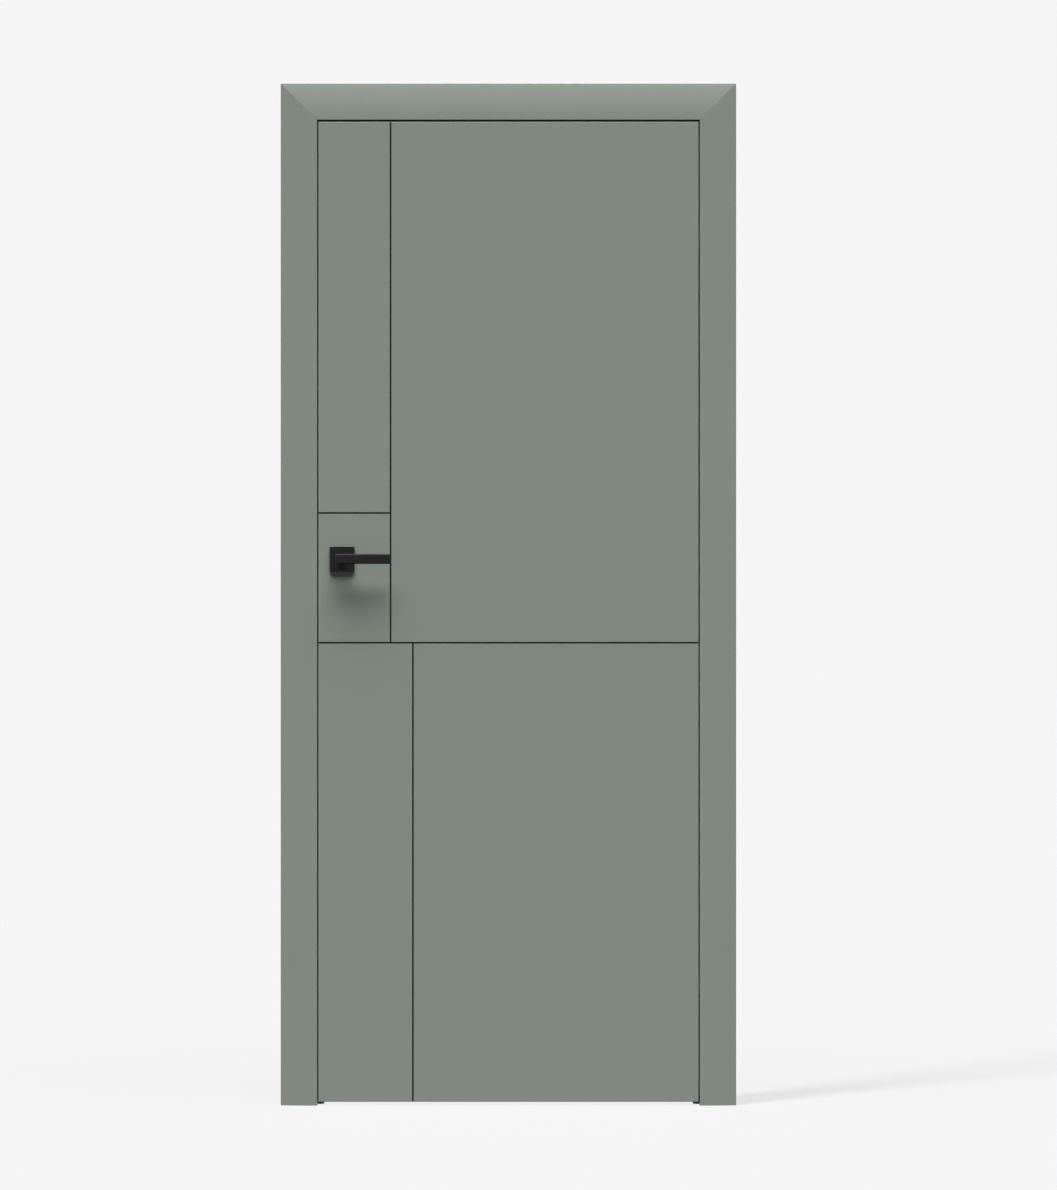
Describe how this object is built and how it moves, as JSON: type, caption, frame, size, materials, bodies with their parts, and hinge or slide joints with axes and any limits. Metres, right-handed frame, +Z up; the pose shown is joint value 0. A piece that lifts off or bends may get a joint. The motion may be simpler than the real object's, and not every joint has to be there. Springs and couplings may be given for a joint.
{
  "type": "interior door",
  "caption": "Flush painted interior door with thin inlay lines and a square-rose lever, hung on concealed hinges in a mitred frame with convex casings; the lever draws the latch.",
  "frame": {"origin": "bottom centre of the whole door's box, on the floor", "axes": "+X from the lock side to the hinge side, +Y from the pull side to the push side, +Z up"},
  "size_m": [0.959, 0.199, 2.1512],
  "materials": {
    "sage_paint": "smooth satin lacquer on MDF",
    "raw_board": "bare chipboard and softwood",
    "black_inlay": "black anodised strip",
    "black_metal": "matt black powder coat on die-cast metal",
    "black_plate": "matt black plated steel",
    "steel": "zinc-plated steel",
    "hinge_metal": "satin die-cast metal",
    "seal_rubber": "soft dark grey rubber",
    "dust_box": "moulded black plastic",
    "rose_plastic": "moulded dark plastic"
  },
  "bodies": {
    "frame": {"strike_jamb": "sage_paint", "hinge_jamb": "sage_paint", "head_jamb": "sage_paint", "strike_stop": "sage_paint", "hinge_stop": "sage_paint", "head_stop": "sage_paint", "front_casing_left": "sage_paint", "front_casing_right": "sage_paint", "front_casing_head": "sage_paint", "back_casing_left": "sage_paint", "back_casing_right": "sage_paint", "back_casing_head": "sage_paint", "stop_seals": "seal_rubber", "strike_plate": "black_plate", "strike_plate_screws": "black_plate", "strike_box": "dust_box", "upper_hinge_frame_body": "hinge_metal", "lower_hinge_frame_body": "hinge_metal", "hinge_frame_screws": "steel", "hinge_frame_pins": "steel"},
    "leaf": {"leaf_lock_stile": "sage_paint", "leaf_hinge_stile": "sage_paint", "leaf_top_rail": "sage_paint", "leaf_bottom_rail": "sage_paint", "leaf_lock_block": "raw_board", "leaf_core": "raw_board", "leaf_front_skin": "sage_paint", "leaf_back_skin": "sage_paint", "front_upper_inlay": "black_inlay", "front_short_inlay": "black_inlay", "front_full_inlay": "black_inlay", "front_lower_inlay": "black_inlay", "back_upper_inlay": "black_inlay", "back_short_inlay": "black_inlay", "back_full_inlay": "black_inlay", "back_lower_inlay": "black_inlay", "latch_forend": "black_plate", "forend_screws": "black_plate", "latch_case": "steel", "latch_case_cover": "steel", "latch_spring": "steel", "front_rose_base": "rose_plastic", "back_rose_base": "rose_plastic", "front_rose": "black_metal", "back_rose": "black_metal", "rose_bolts": "steel", "upper_hinge_leaf_body": "hinge_metal", "lower_hinge_leaf_body": "hinge_metal", "hinge_leaf_screws": "steel", "hinge_leaf_pins": "steel"},
    "handle": {"front_lever": "black_metal", "back_lever": "black_metal", "spindle": "steel", "follower": "steel", "lever_grub_screws": "black_plate"},
    "latch": {"latch_bolt": "steel"},
    "upper_frame_arm": {"upper_hinge_frame_arm": "hinge_metal"},
    "upper_leaf_arm": {"upper_hinge_leaf_arm": "hinge_metal"},
    "lower_frame_arm": {"lower_hinge_frame_arm": "hinge_metal"},
    "lower_leaf_arm": {"lower_hinge_leaf_arm": "hinge_metal"}
  },
  "joints": [
    {"name": "leaf_swing", "type": "hinge", "parent": "frame", "child": "leaf", "pos_m": [0.40125, -0.044, 1.039], "axis": [0, 0, 1], "range_deg": [0, 105]},
    {"name": "lever_turn", "type": "hinge", "parent": "leaf", "child": "handle", "pos_m": [-0.35, -0.0225, 1.15], "axis": [0, 1, 0], "range_deg": [0, 40], "stiffness_Nm_per_rad": 1.5, "springref_deg": -17.19},
    {"name": "latch_slide", "type": "slide", "parent": "leaf", "child": "latch", "axis": [1, 0, 0], "range_m": [0, 0.012], "deforming": ["latch_spring"]},
    {"name": "upper_frame_arm_fold", "type": "hinge", "parent": "frame", "child": "upper_frame_arm", "pos_m": [0.4081, -0.03, 1.83], "axis": [0, 0, 1], "range_deg": [0, 105]},
    {"name": "upper_leaf_arm_fold", "type": "hinge", "parent": "leaf", "child": "upper_leaf_arm", "pos_m": [0.3944, -0.03, 1.83], "axis": [0, 0, 1], "range_deg": [-105, 0]},
    {"name": "lower_frame_arm_fold", "type": "hinge", "parent": "frame", "child": "lower_frame_arm", "pos_m": [0.4081, -0.03, 0.248], "axis": [0, 0, 1], "range_deg": [0, 105]},
    {"name": "lower_leaf_arm_fold", "type": "hinge", "parent": "leaf", "child": "lower_leaf_arm", "pos_m": [0.3944, -0.03, 0.248], "axis": [0, 0, 1], "range_deg": [-105, 0]}
  ],
  "couplings": [
    {"joint": "latch_slide", "follows": "lever_turn", "m_per_rad": 0.017188},
    {"joint": "upper_frame_arm_fold", "follows": "leaf_swing", "ratio": 1},
    {"joint": "upper_leaf_arm_fold", "follows": "leaf_swing", "ratio": -1},
    {"joint": "lower_frame_arm_fold", "follows": "leaf_swing", "ratio": 1},
    {"joint": "lower_leaf_arm_fold", "follows": "leaf_swing", "ratio": -1}
  ]
}
